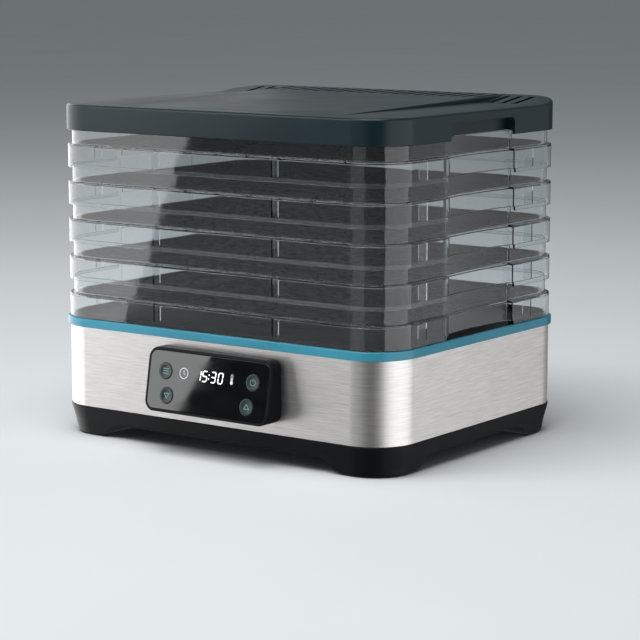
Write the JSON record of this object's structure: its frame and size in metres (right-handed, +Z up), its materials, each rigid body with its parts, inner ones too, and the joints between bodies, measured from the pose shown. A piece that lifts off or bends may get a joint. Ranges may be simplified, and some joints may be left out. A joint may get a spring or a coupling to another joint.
{
  "type": "food dehydrator",
  "caption": "Countertop food dehydrator: fan and heater base with a tilted control pod, a stack of clear trays with mesh mats, and a vented lid that lifts off.",
  "frame": {"origin": "centre of the object's box in plan, on the surface it stands on", "axes": "+Z up, +X along the long side to the right, the control pod faces -Y"},
  "size_m": [0.3426, 0.2906, 0.2804],
  "materials": {
    "lid_plastic": "satin charcoal moulding with a very fine texture",
    "black_plastic": "black moulding, low sheen",
    "accent_plastic": "teal moulding, soft gloss",
    "brushed_steel": "stainless sheet with a horizontal brushed grain",
    "rubber": "dull black rubber",
    "panel_glass": "high-gloss black window",
    "key_plastic": "gloss black key caps with pale teal icons",
    "circuit_board": "green solder mask",
    "display": "white diffuser",
    "cable_jacket": "grey PVC jacket",
    "clear_plastic": "clear moulding, polished",
    "mesh_plastic": "black woven mesh with a slight gloss",
    "plated_steel": "zinc plate",
    "duct_metal": "bare rolled sheet",
    "mica_sheet": "pressed mica board",
    "heater_wire": "oxidised resistance wire",
    "ceramic": "unglazed ceramic"
  },
  "bodies": {
    "base": {"bottom_chassis": "black_plastic", "base_deck": "black_plastic", "accent_ring": "accent_plastic", "steel_wrap": "brushed_steel", "foot_pad_front_left": "rubber", "foot_pad_front_right": "rubber", "foot_pad_rear_left": "rubber", "foot_pad_rear_right": "rubber", "chassis_screw_front_left": "plated_steel", "chassis_screw_front_right": "plated_steel", "chassis_screw_rear_left": "plated_steel", "chassis_screw_rear_right": "plated_steel", "cord_gland": "rubber", "pod_housing": "black_plastic", "pod_glass": "panel_glass", "control_board": "circuit_board", "display_module": "display", "pod_screw_left": "plated_steel", "pod_screw_right": "plated_steel", "panel_cable": "cable_jacket", "motor_bracket": "plated_steel", "fan_motor": "plated_steel", "motor_screw_left": "plated_steel", "motor_screw_right": "plated_steel", "air_duct": "duct_metal", "heater_frame": "mica_sheet", "heater_coil": "heater_wire", "thermal_cutout": "ceramic", "thermal_fuse": "ceramic", "temperature_sensor": "black_plastic", "power_board": "circuit_board"},
    "fan": {"motor_shaft": "plated_steel", "fan_impeller": "black_plastic"},
    "key_menu_body": {"key_menu": "key_plastic"},
    "key_down_body": {"key_down": "key_plastic"},
    "key_power_body": {"key_power": "key_plastic"},
    "key_up_body": {"key_up": "key_plastic"},
    "tray_1_body": {"tray_1": "clear_plastic", "mesh_mat_1": "mesh_plastic"},
    "tray_2_body": {"tray_2": "clear_plastic", "mesh_mat_2": "mesh_plastic"},
    "tray_3_body": {"tray_3": "clear_plastic", "mesh_mat_3": "mesh_plastic"},
    "tray_4_body": {"tray_4": "clear_plastic", "mesh_mat_4": "mesh_plastic"},
    "tray_5_body": {"tray_5": "clear_plastic", "mesh_mat_5": "mesh_plastic"},
    "lid_body": {"lid": "lid_plastic"}
  },
  "joints": [
    {"name": "fan_spin", "type": "hinge", "parent": "base", "child": "fan", "pos_m": [0, 0.00565, 0.05], "axis": [0, 0, 1], "continuous": true},
    {"name": "key_menu_press", "type": "slide", "parent": "base", "child": "key_menu_body", "axis": [0, 0.9848, -0.1738], "range_m": [0, 0.0008], "stiffness_N_per_m": 400, "springref_m": -0.0008},
    {"name": "key_down_press", "type": "slide", "parent": "base", "child": "key_down_body", "axis": [0, 0.9848, -0.1738], "range_m": [0, 0.0008], "stiffness_N_per_m": 400, "springref_m": -0.0008},
    {"name": "key_power_press", "type": "slide", "parent": "base", "child": "key_power_body", "axis": [0, 0.9848, -0.1738], "range_m": [0, 0.0008], "stiffness_N_per_m": 400, "springref_m": -0.0008},
    {"name": "key_up_press", "type": "slide", "parent": "base", "child": "key_up_body", "axis": [0, 0.9848, -0.1738], "range_m": [0, 0.0008], "stiffness_N_per_m": 400, "springref_m": -0.0008},
    {"name": "tray_1_lift", "type": "slide", "parent": "base", "child": "tray_1_body", "axis": [0, 0, 1], "range_m": [0, 0.07]},
    {"name": "tray_2_lift", "type": "slide", "parent": "tray_1_body", "child": "tray_2_body", "axis": [0, 0, 1], "range_m": [0, 0.07]},
    {"name": "tray_3_lift", "type": "slide", "parent": "tray_2_body", "child": "tray_3_body", "axis": [0, 0, 1], "range_m": [0, 0.07]},
    {"name": "tray_4_lift", "type": "slide", "parent": "tray_3_body", "child": "tray_4_body", "axis": [0, 0, 1], "range_m": [0, 0.07]},
    {"name": "tray_5_lift", "type": "slide", "parent": "tray_4_body", "child": "tray_5_body", "axis": [0, 0, 1], "range_m": [0, 0.07]},
    {"name": "lid_lift", "type": "slide", "parent": "tray_5_body", "child": "lid_body", "axis": [0, 0, 1], "range_m": [0, 0.12]}
  ]
}
